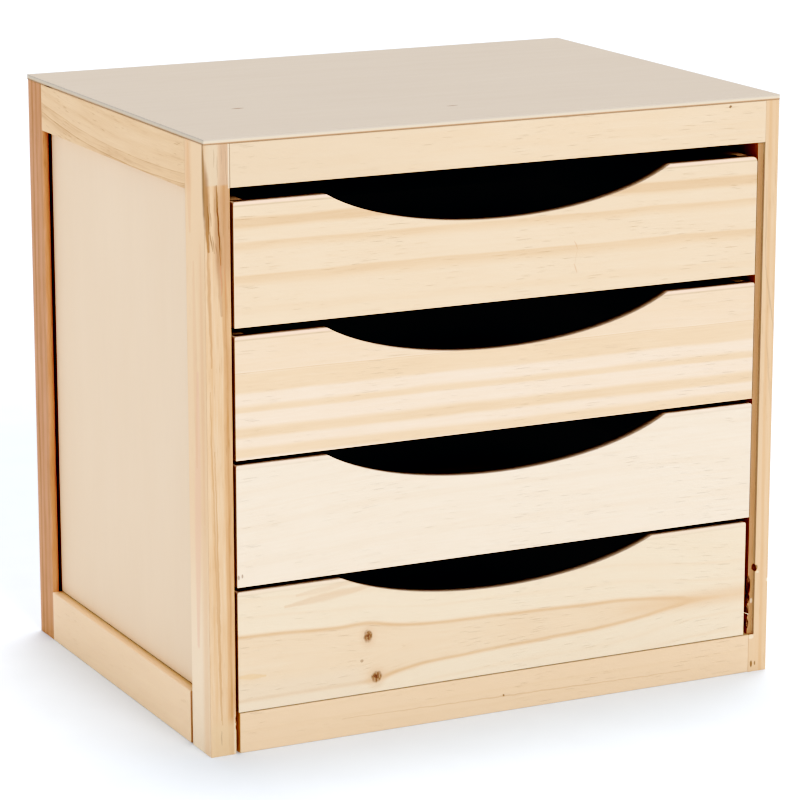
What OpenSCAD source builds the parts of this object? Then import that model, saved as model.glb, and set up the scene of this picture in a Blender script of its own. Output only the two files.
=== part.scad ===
// Desktop cabinet with four drawers. Pine posts and rails frame plywood panels,
// and each drawer runs on a pair of wooden runners and is pulled by a finger scoop.
// The front faces -Y, +Z is up, and the origin is the middle of the footprint.

/* [Cabinet] */
// Overall width across the front
cabinet_w = 260; // [230:1:320]
// Overall depth from front to back
cabinet_d = 192; // [160:1:240]
// Thickness of the plywood top
top_t = 2.2; // [2:0.1:4]

/* [Posts] */
// Width of the two left posts
post_w = 11; // [10:0.5:14]
// Width of the two right posts, with the front one's rebated strip
right_post_w = 9; // [8.5:0.1:12]
// Depth of the front posts
front_post_d = 19; // [17:0.5:26]
// Depth of the back posts
back_post_d = 16.5; // [15:0.5:24]
// Width of the stopped rebate down the inner edge of the front right post
strip_w = 2.5; // [1.5:0.1:4]
// Depth of that rebate behind the front
strip_d = 1.5; // [1:0.1:3]

/* [Rails] */
// Height of the rail over the drawers
front_top_rail_h = 17.5; // [14:0.5:24]
// Height of the rail under the drawers
front_bottom_rail_h = 16.8; // [14:0.2:24]
// Thickness of the two front rails
front_rail_t = 12; // [10:0.5:14]
// Open joint at the left end of the lower front rail
rail_end_gap = 1.8; // [0.5:0.1:3]
// Open joint at the front end of the lower side rails
side_rail_gap = 1.8; // [0.5:0.1:3]
// Height of the top rails at the sides and back
top_rail_h = 20; // [16:0.5:28]
// Height of the bottom rails at the sides and back
bottom_rail_h = 22; // [16:0.5:28]

/* [Panels] */
// Thickness of the side and back panels
panel_t = 3; // [2:0.5:4]
// How far the panels lie behind the outer faces of the frame
panel_inset = 4.3; // [3.8:0.1:5]
// Width of the grooves in the posts
groove_w = 4.5; // [4.2:0.1:5]
// Depth of the grooves in the posts and of the rebates in the rails
groove_d = 4; // [3:0.5:5]
// Thickness of the base panel
base_t = 3; // [2:0.5:4]
// How far the base panel reaches under the rails
base_lap = 3; // [2:0.5:3.5]

/* [Drawers] */
// Height of a drawer front
front_h = 50; // [44:1:64]
// Thickness of a drawer front
front_t = 7; // [6:0.5:9]
// Gap between a drawer front and the posts
side_gap = 1.2; // [0.5:0.1:2]
// Gap between the lowest drawer front, which is shorter, and the right post
low_right_gap = 2.7; // [0.5:0.1:4]
// Gap under the lowest drawer front
base_gap = 0.4; // [0.4:0.1:2]
// Gap between two drawer fronts
drawer_gap = 2; // [1.5:0.1:4]
// Extra gap under the top drawer
top_drawer_lift = 1.4; // [0:0.1:2]
// Gap over the top drawer front
top_gap = 5.7; // [3:0.1:8]
// Radius of the upper right corner of the top drawer front
corner_r = 2.3; // [1:0.1:4]
// Radius of the other upper corners of the drawer fronts
small_corner_r = 0.8; // [0.4:0.1:3]
// How far the ends of a drawer front stand out past its sides
front_lip = 1.5; // [1:0.1:3]
// Thickness of the drawer sides
side_t = 5; // [4.5:0.5:7]
// Thickness of the drawer backs
back_t = 5; // [4.5:0.5:7]
// Thickness of the plywood drawer bottoms
bottom_t = 2.5; // [2:0.5:4]
// Lower edge of the drawer sides over the lower edge of the front
box_lift = 7; // [7:0.5:9]
// Height of the drawer bottom over the lower edge of the sides
bottom_lift = 3; // [2:0.5:5]
// Depth of the housings in the front and of the grooves for the bottom
housing_d = 2.5; // [1.5:0.5:3]
// Gap between a closed drawer and the back panel
rear_gap = 0.5; // [0.3:0.1:3]

/* [Finger scoop] */
// Half width of the ellipse that the scoop is cut along
scoop_a = 91; // [80:0.5:95]
// Half height of that ellipse
scoop_b = 33.2; // [28:0.2:40]
// Depth of the scoop in the three upper drawers
scoop_depth = 16; // [10:0.5:20]
// Depth of the scoop in the lowest drawer
low_scoop_depth = 13; // [10:0.5:20]

/* [Runners] */
// Height of a runner
runner_h = 6; // [4:0.5:6.5]
// Clearance between a runner and the drawer that it carries
runner_play = 0.3; // [0.2:0.1:0.5]
// Length of the sloped lead-in at the front of a runner
lead_in = 4; // [2:0.5:8]
// Drop of that lead-in
lead_in_drop = 2; // [1:0.5:3]

/* [Fasteners] */
// Diameter of the dowels between rails and posts
dowel_d = 4; // [3:0.5:4]
// Length of a dowel
dowel_len = 12; // [10:0.5:14]
// Diameter of the brads in the drawer backs
brad_d = 1.2; // [1:0.1:1.6]
// Length of a brad
brad_len = 14; // [10:0.5:20]
// Height of the brads from the upper and lower edges of the drawer sides
brad_inset = 11; // [9:1:14]
// Diameter of a brad's head
brad_head_d = 2.2; // [2:0.1:2.8]
// Thickness of a brad's head
brad_head_t = 0.6; // [0.4:0.1:1]
// Clearance in grooves, housings and holes
fit = 0.1; // [0.05:0.01:0.15]

/* [Hidden] */
drawer_count = 4;
scoop_steps = 28;
corner_steps = 5;
cut = 1;                // how far a cutter reaches past the face that it opens
$fn = 32;

pine = [0.94, 0.85, 0.72];
warm_pine = [0.87, 0.70, 0.53];
plywood = [0.90, 0.82, 0.70];
steel = [0.70, 0.70, 0.72];

// Heights, from the floor up
function front_z(n) = front_bottom_rail_h + base_gap + (n - 1) * (front_h + drawer_gap)
    + (n == drawer_count ? top_drawer_lift : 0);
opening_top = front_z(drawer_count) + front_h + top_gap;
frame_h = opening_top + front_top_rail_h;
panel_z0 = bottom_rail_h - groove_d;
panel_z1 = frame_h - top_rail_h + groove_d;

// Widths: the opening for the drawers lies between the two front posts
left_x = -cabinet_w / 2;
right_x = cabinet_w / 2;
opening_x0 = left_x + post_w;
opening_x1 = right_x - right_post_w;
front_x0 = opening_x0 + side_gap;
function front_x1(n) = opening_x1 - (n == 1 ? low_right_gap : side_gap);
box_x0 = front_x0 + front_lip;
function box_x1(n) = front_x1(n) - front_lip;

// Depths
front_y = -cabinet_d / 2;
back_y = cabinet_d / 2;
side_y0 = front_y + front_post_d;
side_y1 = back_y - back_post_d;
rail_t = panel_inset + panel_t;
groove_start = panel_inset + panel_t + fit - groove_w;
box_y0 = front_y + front_t;
box_y1 = back_y - rail_t - rear_gap;
box_h = front_h - box_lift;

// A block between two opposite corners
module block(low, high) {
    translate(low) cube(high - low);
}

// A round hole or dowel along X, centred on a point
module bar_x(centre, d, length) {
    translate(centre) rotate([0, 90, 0]) cylinder(d = d, h = length, center = true);
}

// A round hole or dowel along Y, centred on a point
module bar_y(centre, d, length) {
    translate(centre) rotate([90, 0, 0]) cylinder(d = d, h = length, center = true);
}

// Dowels. Each is centred on the joint that it closes, and grow widens it into its hole.
module front_rail_dowels(grow = 0) {
    y = front_y + front_rail_t / 2;
    z_top = frame_h - front_top_rail_h / 2;
    z_low = front_bottom_rail_h / 2 + base_t / 2;
    bar_x([opening_x0, y, z_top], dowel_d + grow, dowel_len + grow);
    bar_x([opening_x1, y, z_top], dowel_d + grow, dowel_len + grow);
    bar_x([opening_x0 + rail_end_gap / 2, y, z_low], dowel_d + grow, dowel_len + grow);
    bar_x([opening_x1, y, z_low], dowel_d + grow, dowel_len + grow);
}

module back_rail_dowels(grow = 0) {
    for (x = [opening_x0, opening_x1], z = [frame_h - top_rail_h / 2, bottom_rail_h / 2])
        bar_x([x, back_y - rail_t / 2, z], dowel_d + grow, dowel_len + grow);
}

module side_rail_dowels(grow = 0) {
    z_top = frame_h - top_rail_h / 2;
    z_low = bottom_rail_h / 2;
    joints = [[side_y0, z_top], [side_y1, z_top], [side_y0 + side_rail_gap / 2, z_low], [side_y1, z_low]];
    for (side = [-1, 1], joint = joints)
        bar_y([side * (right_x - rail_t / 2), joint[0], joint[1]], dowel_d + grow, dowel_len + grow);
}

module frame_dowels() {
    color(pine) {
        front_rail_dowels();
        back_rail_dowels();
        side_rail_dowels();
    }
}

// Every dowel hole of the frame, cut from posts and rails alike
module dowel_holes() {
    front_rail_dowels(fit);
    back_rail_dowels(fit);
    side_rail_dowels(fit);
}

// Groove for a side panel in the inner face of a post: side is -1 or 1, y the face, in the way in
module side_panel_groove(side, y, in) {
    x0 = right_x - groove_start - groove_w;
    x1 = right_x - groove_start;
    y0 = min(y - in * cut, y + in * groove_d);
    y1 = max(y - in * cut, y + in * groove_d);
    on_side(side) block([x0, y0, panel_z0], [x1, y1, panel_z1]);
}

// Groove for the back panel, from one back post across to the other
module back_panel_groove() {
    y0 = back_y - groove_start - groove_w;
    block([opening_x0 - groove_d, y0, panel_z0], [opening_x1 + groove_d, y0 + groove_w, panel_z1]);
}

// Leaves a shape on the right, or mirrors it to the left where side is -1
module on_side(side) {
    if (side > 0) children();
    else mirror([1, 0, 0]) children();
}

module front_left_post() {
    color(warm_pine) difference() {
        block([left_x, front_y, 0], [left_x + post_w, side_y0, frame_h]);
        side_panel_groove(-1, side_y0, -1);
        dowel_holes();
    }
}

// The rebate starts at the top of the lower rail and runs out at the top of the post
module front_right_post() {
    color(warm_pine) difference() {
        block([opening_x1, front_y, 0], [right_x, side_y0, frame_h]);
        block([opening_x1 - cut, front_y - cut, front_bottom_rail_h],
              [opening_x1 + strip_w, front_y + strip_d, frame_h + cut]);
        side_panel_groove(1, side_y0, -1);
        dowel_holes();
    }
}

module back_post(side, x0, x1) {
    color(warm_pine) difference() {
        block([x0, side_y1, 0], [x1, back_y, frame_h]);
        side_panel_groove(side, side_y1, 1);
        back_panel_groove();
        dowel_holes();
    }
}

module back_left_post() {
    back_post(-1, left_x, opening_x0);
}

module back_right_post() {
    back_post(1, opening_x1, right_x);
}

// Side rail: the panel lies in a rebate of its inner face, so both are flush inside
module side_top_rail(side) {
    z0 = frame_h - top_rail_h;
    color(pine) difference() {
        on_side(side) block([right_x - rail_t, side_y0, z0], [right_x, side_y1, frame_h]);
        on_side(side) block([right_x - rail_t - cut, side_y0 - cut, z0 - cut],
                            [right_x - panel_inset, side_y1 + cut, panel_z1]);
        dowel_holes();
    }
}

module side_bottom_rail(side) {
    color(pine) difference() {
        on_side(side) block([right_x - rail_t, side_y0 + side_rail_gap, 0], [right_x, side_y1, bottom_rail_h]);
        on_side(side) block([right_x - rail_t - cut, side_y0 - cut, panel_z0],
                            [right_x - panel_inset, side_y1 + cut, bottom_rail_h + cut]);
        on_side(side) block([right_x - rail_t - cut, side_y0 - cut, -cut],
                            [right_x - rail_t + base_lap, side_y1 + cut, base_t]);
        dowel_holes();
    }
}

// The right end laps over the rebated strip of the post
module front_top_rail() {
    color(pine) difference() {
        union() {
            block([opening_x0, front_y, opening_top], [opening_x1, front_y + front_rail_t, frame_h]);
            block([opening_x1 - cut, front_y, opening_top],
                  [opening_x1 + strip_w, front_y + strip_d, frame_h]);
        }
        dowel_holes();
    }
}

module front_bottom_rail() {
    color(pine) difference() {
        block([opening_x0 + rail_end_gap, front_y, 0],
              [opening_x1, front_y + front_rail_t, front_bottom_rail_h]);
        block([opening_x0, front_y + front_rail_t - base_lap, -cut],
              [opening_x1 + cut, front_y + front_rail_t + cut, base_t]);
        dowel_holes();
    }
}

module back_top_rail() {
    z0 = frame_h - top_rail_h;
    color(pine) difference() {
        block([opening_x0, back_y - rail_t, z0], [opening_x1, back_y, frame_h]);
        block([opening_x0 - cut, back_y - rail_t - cut, z0 - cut],
              [opening_x1 + cut, back_y - panel_inset, panel_z1]);
        dowel_holes();
    }
}

module back_bottom_rail() {
    x0 = opening_x0 - cut;
    x1 = opening_x1 + cut;
    color(pine) difference() {
        block([opening_x0, back_y - rail_t, 0], [opening_x1, back_y, bottom_rail_h]);
        block([x0, back_y - rail_t - cut, panel_z0], [x1, back_y - panel_inset, bottom_rail_h + cut]);
        block([x0, back_y - rail_t - cut, -cut], [x1, back_y - rail_t + base_lap, base_t]);
        dowel_holes();
    }
}

module side_panel(side) {
    color(plywood) on_side(side)
        block([right_x - rail_t, side_y0 - groove_d + fit, panel_z0 + fit],
              [right_x - panel_inset, side_y1 + groove_d - fit, panel_z1 - fit]);
}

module back_panel() {
    reach = groove_d - fit;
    color(plywood) block([opening_x0 - reach, back_y - rail_t, panel_z0 + fit],
                         [opening_x1 + reach, back_y - panel_inset, panel_z1 - fit]);
}

// The base lies in the rebates of the four bottom rails, with a notch round each post
module base_panel() {
    x1 = right_x - rail_t + base_lap - fit;
    y0 = front_y + front_rail_t - base_lap + fit;
    y1 = back_y - rail_t + base_lap - fit;
    color(plywood) difference() {
        block([-x1, y0, 0], [x1, y1, base_t]);
        for (x = [[left_x, opening_x0 + fit], [opening_x1 - fit, right_x]]) {
            block([x[0], front_y, -cut], [x[1], side_y0 + fit, base_t + cut]);
            block([x[0], side_y1 - fit, -cut], [x[1], back_y, base_t + cut]);
        }
    }
}

module top_panel() {
    color(plywood) block([left_x, front_y, frame_h], [right_x, back_y, frame_h + top_t]);
}

// A runner reaches from the panel to the inner face of the drawer side that slides on it
module runner(n, outer_x, inner_x) {
    z1 = front_z(n) + box_lift - runner_play;
    x0 = min(outer_x, inner_x);
    color(pine) translate([x0, 0, 0]) rotate([90, 0, 90])
        linear_extrude(abs(outer_x - inner_x)) polygon([
            [side_y0, z1 - runner_h], [side_y1, z1 - runner_h], [side_y1, z1],
            [side_y0 + lead_in, z1], [side_y0, z1 - lead_in_drop]
        ]);
}

module left_runner(n) {
    runner(n, left_x + rail_t, box_x0 + side_t);
}

module right_runner(n) {
    runner(n, right_x - rail_t, box_x1(n) - side_t);
}

// Outline of a drawer front over its lower edge: rounded upper corners, and the scoop as a piece
// of an ellipse that meets the upper edge at an angle, on the middle of the cabinet
function scoop_angle(depth) = acos((scoop_b - depth) / scoop_b);
function scoop_curve(depth) = [for (i = [0 : scoop_steps])
    let (t = scoop_angle(depth) * (1 - 2 * i / scoop_steps))
    [scoop_a * sin(t), front_h + scoop_b - depth - scoop_b * cos(t)]];
function corner(x, r, from) = [for (i = [0 : corner_steps])
    let (a = from + 90 * i / corner_steps)
    [x + r * cos(a), front_h - r + r * sin(a)]];
function front_outline(x0, x1, depth, right_r) = concat(
    [[x0, 0], [x1, 0]], corner(x1 - right_r, right_r, 0), scoop_curve(depth),
    corner(x0 + small_corner_r, small_corner_r, 90));

module drawer_front(n) {
    z0 = front_z(n);
    z_groove = z0 + box_lift + bottom_lift;
    depth = n == 1 ? low_scoop_depth : scoop_depth;
    right_r = n == drawer_count ? corner_r : small_corner_r;
    color(pine) difference() {
        translate([0, box_y0, z0]) rotate([90, 0, 0])
            linear_extrude(front_t) polygon(front_outline(front_x0, front_x1(n), depth, right_r));
        for (x = [box_x0, box_x1(n) - side_t])
            block([x - fit, box_y0 - housing_d, z0 + box_lift - fit],
                  [x + side_t + fit, box_y0 + cut, z0 + front_h + cut]);
        block([box_x0 + side_t - housing_d, box_y0 - housing_d, z_groove - fit],
              [box_x1(n) - side_t + housing_d, box_y0 + cut, z_groove + bottom_t + fit]);
    }
}

// Brads through the sides into the drawer back; heads lie flush in the sides
module drawer_brad_set(n, grow = 0) {
    y = box_y1 - back_t / 2;
    for (z = [front_z(n) + box_lift + brad_inset, front_z(n) + front_h - brad_inset]) {
        translate([box_x0, y, z]) rotate([0, 90, 0]) brad(grow);
        translate([box_x1(n), y, z]) rotate([0, -90, 0]) brad(grow);
    }
}

module brad(grow) {
    cylinder(d = brad_d + grow, h = brad_len + grow);
    translate([0, 0, grow > 0 ? -cut : 0])
        cylinder(d = brad_head_d + grow, h = brad_head_t + (grow > 0 ? cut : 0));
}

// x is the left face of the side, in is 1 where the drawer lies to its right and -1 where to its left
module drawer_side(n, x, in) {
    z0 = front_z(n) + box_lift;
    inner_x = in > 0 ? x + side_t : x;
    groove_x = [inner_x - in * housing_d, inner_x + in * cut];
    color(pine) difference() {
        block([x, box_y0 - housing_d + fit, z0], [x + side_t, box_y1, z0 + box_h]);
        block([min(groove_x), box_y0 - housing_d - cut, z0 + bottom_lift - fit],
              [max(groove_x), box_y1 - back_t + housing_d, z0 + bottom_lift + bottom_t + fit]);
        drawer_brad_set(n, fit);
    }
}

module drawer_left_side(n) {
    drawer_side(n, box_x0, 1);
}

module drawer_right_side(n) {
    drawer_side(n, box_x1(n) - side_t, -1);
}

module drawer_back(n) {
    z0 = front_z(n) + box_lift;
    color(pine) difference() {
        block([box_x0 + side_t, box_y1 - back_t, z0], [box_x1(n) - side_t, box_y1, z0 + box_h]);
        block([box_x0, box_y1 - back_t - cut, z0 + bottom_lift - fit],
              [box_x1(n), box_y1 - back_t + housing_d, z0 + bottom_lift + bottom_t + fit]);
        drawer_brad_set(n, fit);
    }
}

module drawer_bottom(n) {
    z0 = front_z(n) + box_lift + bottom_lift;
    reach = housing_d - fit;
    color(plywood) block([box_x0 + side_t - reach, box_y0 - reach, z0],
                         [box_x1(n) - side_t + reach, box_y1 - back_t + reach, z0 + bottom_t]);
}

module drawer_brads(n) {
    color(steel) drawer_brad_set(n);
}

front_left_post();
front_right_post();
back_left_post();
back_right_post();
side_top_rail(-1);  // left_top_rail
side_bottom_rail(-1);  // left_bottom_rail
side_top_rail(1);  // right_top_rail
side_bottom_rail(1);  // right_bottom_rail
front_top_rail();
front_bottom_rail();
back_top_rail();
back_bottom_rail();
side_panel(-1);  // left_panel
side_panel(1);  // right_panel
back_panel();
base_panel();
top_panel();
frame_dowels();
left_runner(1);  // left_runner_1
left_runner(2);  // left_runner_2
left_runner(3);  // left_runner_3
left_runner(4);  // left_runner_4
right_runner(1);  // right_runner_1
right_runner(2);  // right_runner_2
right_runner(3);  // right_runner_3
right_runner(4);  // right_runner_4
drawer_front(1);  // drawer_1_front
drawer_left_side(1);  // drawer_1_left_side
drawer_right_side(1);  // drawer_1_right_side
drawer_back(1);  // drawer_1_back
drawer_bottom(1);  // drawer_1_bottom
drawer_brads(1);  // drawer_1_brads
drawer_front(2);  // drawer_2_front
drawer_left_side(2);  // drawer_2_left_side
drawer_right_side(2);  // drawer_2_right_side
drawer_back(2);  // drawer_2_back
drawer_bottom(2);  // drawer_2_bottom
drawer_brads(2);  // drawer_2_brads
drawer_front(3);  // drawer_3_front
drawer_left_side(3);  // drawer_3_left_side
drawer_right_side(3);  // drawer_3_right_side
drawer_back(3);  // drawer_3_back
drawer_bottom(3);  // drawer_3_bottom
drawer_brads(3);  // drawer_3_brads
drawer_front(4);  // drawer_4_front
drawer_left_side(4);  // drawer_4_left_side
drawer_right_side(4);  // drawer_4_right_side
drawer_back(4);  // drawer_4_back
drawer_bottom(4);  // drawer_4_bottom
drawer_brads(4);  // drawer_4_brads
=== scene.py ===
import math
import random

import bmesh
import bpy
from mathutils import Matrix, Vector


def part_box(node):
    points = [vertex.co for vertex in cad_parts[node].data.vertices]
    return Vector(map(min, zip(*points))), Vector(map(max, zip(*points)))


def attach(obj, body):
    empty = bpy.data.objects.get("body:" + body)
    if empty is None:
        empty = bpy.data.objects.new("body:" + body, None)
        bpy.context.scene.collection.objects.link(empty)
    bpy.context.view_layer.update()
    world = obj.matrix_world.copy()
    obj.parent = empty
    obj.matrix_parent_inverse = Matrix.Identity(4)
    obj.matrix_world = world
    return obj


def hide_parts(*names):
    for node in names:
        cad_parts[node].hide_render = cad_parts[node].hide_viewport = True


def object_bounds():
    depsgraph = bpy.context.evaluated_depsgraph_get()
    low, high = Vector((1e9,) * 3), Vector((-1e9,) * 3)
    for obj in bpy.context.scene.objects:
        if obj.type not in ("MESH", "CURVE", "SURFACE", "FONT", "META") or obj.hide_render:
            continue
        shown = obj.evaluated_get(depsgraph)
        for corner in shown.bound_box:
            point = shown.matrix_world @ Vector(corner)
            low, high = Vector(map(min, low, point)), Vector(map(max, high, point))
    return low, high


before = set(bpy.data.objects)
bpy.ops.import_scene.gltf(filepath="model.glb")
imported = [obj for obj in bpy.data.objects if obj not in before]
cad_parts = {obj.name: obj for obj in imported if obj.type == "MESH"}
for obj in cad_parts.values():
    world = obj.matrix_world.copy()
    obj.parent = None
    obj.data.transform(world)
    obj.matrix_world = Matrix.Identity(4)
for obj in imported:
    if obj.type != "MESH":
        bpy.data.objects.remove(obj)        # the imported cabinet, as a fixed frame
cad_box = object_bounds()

X, Y, Z = 0, 1, 2
MILLIMETRE = 0.001
TOUCHING = 0.02 * MILLIMETRE         # points closer than this to a face lie on it

FRONT_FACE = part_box("front_top_rail")[0].y / MILLIMETRE
TOP_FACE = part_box("top_panel")[1].z / MILLIMETRE


# Colours and shader nodes

BRIGHTEST = 0.97


def paint(red, green, blue, light=1.0):
    """A colour given as it shows, 0 to 255, in light of that strength, as linear values."""
    def linear(value):
        share = value / 255
        return share / 12.92 if share <= 0.04045 else ((share + 0.055) / 1.055) ** 2.4
    return tuple(min(linear(value) / light, BRIGHTEST) for value in (red, green, blue)) + (1.0,)


class Finish:
    """A material being made. Each method adds shader nodes and returns what they put out.

    Places are in millimetres in the cabinet's own frame."""

    def __init__(self, name):
        self.material = bpy.data.materials.new(name)
        self.material.use_nodes = True
        self.tree = self.material.node_tree
        self.shader = self.tree.nodes["Principled BSDF"]
        coordinates = self.tree.nodes.new("ShaderNodeTexCoord")
        self.normal = self.split(coordinates.outputs["Normal"])
        self.place = self.vector_math("SCALE", coordinates.outputs["Object"], scale=1 / MILLIMETRE)
        self.xyz = self.split(self.place)

    def feed(self, socket, value):
        if isinstance(value, bpy.types.NodeSocket):
            self.tree.links.new(value, socket)
        else:
            socket.default_value = value

    def math(self, operation, *values, clamp=False):
        node = self.tree.nodes.new("ShaderNodeMath")
        node.operation = operation
        node.use_clamp = clamp
        for socket, value in zip(node.inputs, values):
            self.feed(socket, value)
        return node.outputs[0]

    def vector_math(self, operation, *values, scale=None):
        node = self.tree.nodes.new("ShaderNodeVectorMath")
        node.operation = operation
        for socket, value in zip(node.inputs, values):
            self.feed(socket, value)
        if scale is not None:
            self.feed(node.inputs["Scale"], scale)
        return node.outputs["Value" if operation in ("LENGTH", "DOT_PRODUCT") else "Vector"]

    def split(self, vector):
        node = self.tree.nodes.new("ShaderNodeSeparateXYZ")
        self.feed(node.inputs[0], vector)
        return list(node.outputs)

    def join(self, *values):
        node = self.tree.nodes.new("ShaderNodeCombineXYZ")
        for socket, value in zip(node.inputs, values):
            self.feed(socket, value)
        return node.outputs[0]

    def noise(self, values, lengths, detail=2.0):
        """Noise whose features are about as long as given along each of three values."""
        node = self.tree.nodes.new("ShaderNodeTexNoise")
        self.feed(node.inputs["Vector"], self.vector_math("DIVIDE", self.join(*values), lengths))
        node.inputs["Scale"].default_value = 1.0
        node.inputs["Detail"].default_value = detail
        return node.outputs[0]

    def fade(self, value, start, end, low=0.0, high=1.0, smooth=True):
        """Step from low at start to high at end, smooth or straight."""
        node = self.tree.nodes.new("ShaderNodeMapRange")
        node.interpolation_type = "SMOOTHSTEP" if smooth else "LINEAR"
        for name, number in zip(("Value", "From Min", "From Max", "To Min", "To Max"),
                                (value, start, end, low, high)):
            self.feed(node.inputs[name], number)
        return node.outputs[0]

    def ramp(self, value, stops, interpolation="LINEAR"):
        """Colour ramp through stops of (place, colour), with places from 0 to 1."""
        node = self.tree.nodes.new("ShaderNodeValToRGB")
        node.color_ramp.interpolation = interpolation
        elements = node.color_ramp.elements
        while len(elements) < len(stops):
            elements.new(1.0)
        for element, (place, colour) in zip(elements, stops):
            element.position = place
            element.color = colour
        self.feed(node.inputs[0], value)
        return node.outputs[0]

    def profile(self, value, stops, interpolation="EASE"):
        """Number that follows stops of (place, number), with places in millimetres."""
        low, high = stops[0][0], stops[-1][0]
        most = max(1.0, max(number for place, number in stops))
        shares = [((place - low) / (high - low), (number / most,) * 3 + (1.0,))
                  for place, number in stops]
        share = self.ramp(self.fade(value, low, high, smooth=False), shares, interpolation)
        return self.math("MULTIPLY", share, most)

    def mix(self, share, first, second):
        node = self.tree.nodes.new("ShaderNodeMix")
        node.data_type = "RGBA"
        self.feed(node.inputs[0], share)
        self.feed(node.inputs[6], first)
        self.feed(node.inputs[7], second)
        return node.outputs[2]

    def bump(self, height, depth):
        """Relief of the given depth in millimetres."""
        node = self.tree.nodes.new("ShaderNodeBump")
        node.inputs["Distance"].default_value = depth * MILLIMETRE
        self.feed(node.inputs["Height"], height)
        self.feed(self.shader.inputs["Normal"], node.outputs[0])

    def grade(self, darkness, tone, middle):
        """Early wood, middle and late wood by darkness, with the middle tone at that darkness."""
        return self.ramp(darkness, [(0.0, tone[0]), (middle, tone[1]), (1.0, tone[2])])

    def vary(self, darkness, patterns):
        """Lightens and darkens by noises, given as (noise, amount)."""
        for pattern, amount in patterns:
            centred = self.math("SUBTRACT", pattern, 0.5)
            darkness = self.math("MULTIPLY_ADD", centred, amount, darkness)
        return darkness

    def streak(self, place, start, end, radius):
        """How much of a thin line from start to end shows at a place, tapered at both ends."""
        taper_end, end_share = 0.62, 0.3
        start, end = Vector(start), Vector(end)
        along = end - start
        from_start = self.vector_math("SUBTRACT", place, start)
        share = self.math("DIVIDE", self.vector_math("DOT_PRODUCT", from_start, along),
                          along.length_squared, clamp=True)
        nearest = self.vector_math("SCALE", along, scale=share)
        distance = self.vector_math("LENGTH", self.vector_math("SUBTRACT", from_start, nearest))
        from_middle = self.math("ABSOLUTE", self.math("SUBTRACT", share, 0.5))
        reach = self.fade(from_middle, 0.0, taper_end, radius, end_share * radius)
        return self.fade(self.math("DIVIDE", distance, reach), 1.0, 0.35)

    def patch(self, low, high, soft):
        """How much a box whose sides are soft by x, y and z holds a place. None is open."""
        shares = []
        for value, start, end, reach in zip(self.xyz, low, high, soft):
            if start is not None:
                shares.append(self.fade(value, start - reach, start + reach))
            if end is not None:
                shares.append(self.fade(value, end + reach, end - reach))
        share = shares[0]
        for other in shares[1:]:
            share = self.math("MULTIPLY", share, other)
        return share

    def stain(self, colour, patches):
        """Lays soft patches over a colour, given as (low, high, softness, strength, colour)."""
        for low, high, soft, strength, tint in patches:
            share = self.math("MULTIPLY", self.patch(low, high, soft), strength)
            colour = self.mix(share, colour, tint)
        return colour

    def knot(self, along, across, centre, half_length, half_height):
        """Bends the rings round a knot. Returns the bent height and the distance in knot radii."""
        ragged, bend = 0.6, 0.32
        reach_along, reach_across = 6.0, 4.5
        off_along = self.math("SUBTRACT", along, centre[0])
        off_across = self.math("SUBTRACT", across, centre[1])

        def square(half_x, half_y):
            x = self.math("DIVIDE", off_along, half_x)
            y = self.math("DIVIDE", off_across, half_y)
            return self.math("MULTIPLY_ADD", x, x, self.math("MULTIPLY", y, y))

        wobble = self.noise((along, across, 0.0), (1.6, 1.6, 1.0), detail=2)
        radius = self.math("SQRT", square(half_length, half_height))
        distance = self.math("MULTIPLY_ADD", wobble, ragged,
                             self.math("SUBTRACT", radius, ragged / 2))
        around = square(reach_along * half_length, reach_across * half_height)
        falloff = self.math("EXPONENT", self.math("MULTIPLY", around, -1.0))
        push = self.math("MULTIPLY", self.math("MULTIPLY", off_across, falloff), bend)
        return self.math("SUBTRACT", across, push), distance

    def knot_colour(self, colour, distance, along, across, detail):
        """Lays a ringed brown knot with a dark heart and a warm halo over a colour."""
        rings = self.math("SINE", self.math("MULTIPLY_ADD", distance, 11.0,
                                            self.math("MULTIPLY", detail, 7.0)))
        flecks = self.noise((along, across, 0.0), (0.7, 1.1, 1.0), detail=2)
        darkness = self.math("MULTIPLY_ADD", rings, 0.08,
                             self.fade(flecks, 0.35, 0.65, 0.75, 0.0))
        darkness = self.math("ADD", darkness, self.fade(distance, 0.55, 0.1, 0.0, 0.35))
        inside = self.grade(darkness, KNOT_TONE, 0.45)
        halo = self.math("MULTIPLY", self.fade(distance, 2.8, 0.8), 0.55)
        colour = self.mix(halo, colour, KNOT_HALO)
        return self.mix(self.fade(distance, 1.30, 0.72), colour, inside)


# How bright the studio's light is on each side of the cabinet
FRONT, SIDE, TOP = 1.33, 0.93, 1.39


def tone(light, early, middle, late):
    """The three colours of one board's wood, as they show in light of that strength."""
    return tuple(paint(*colour, light) for colour in (early, middle, late))


FRONT_TONE = tone(FRONT, (247, 227, 199), (243, 215, 180), (222, 179, 133))
WARM_FRONT = tone(FRONT, (247, 231, 205), (244, 219, 187), (226, 186, 143))
PALE_TONE = tone(FRONT, (251, 233, 212), (245, 218, 184), (226, 186, 142))
PALEST_TONE = tone(FRONT, (251, 238, 219), (247, 229, 205), (228, 198, 164))
RAIL_TONE = tone(FRONT, (246, 218, 185), (242, 212, 176), (216, 175, 130))
POST_TONE = tone(FRONT, (242, 213, 178), (233, 192, 149), (198, 143, 96))
SIDE_TONE = tone(SIDE, (235, 204, 167), (227, 192, 152), (186, 138, 92))
PALE_SIDE = tone(SIDE, (244, 217, 183), (238, 207, 173), (208, 166, 126))
WARM_TONE = tone(SIDE, (210, 163, 132), (196, 144, 110), (154, 102, 72))
KNOT_TONE = tone(FRONT, (198, 160, 130), (168, 128, 98), (128, 92, 66))
KNOT_HALO = paint(232, 197, 162, FRONT)
PITCH = paint(120, 78, 46)
END_GRAIN = paint(168, 116, 74)
PAINTED_HIGHLIGHT = paint(248, 230, 202, FRONT)
GREY_LINE = paint(166, 140, 116)
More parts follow.
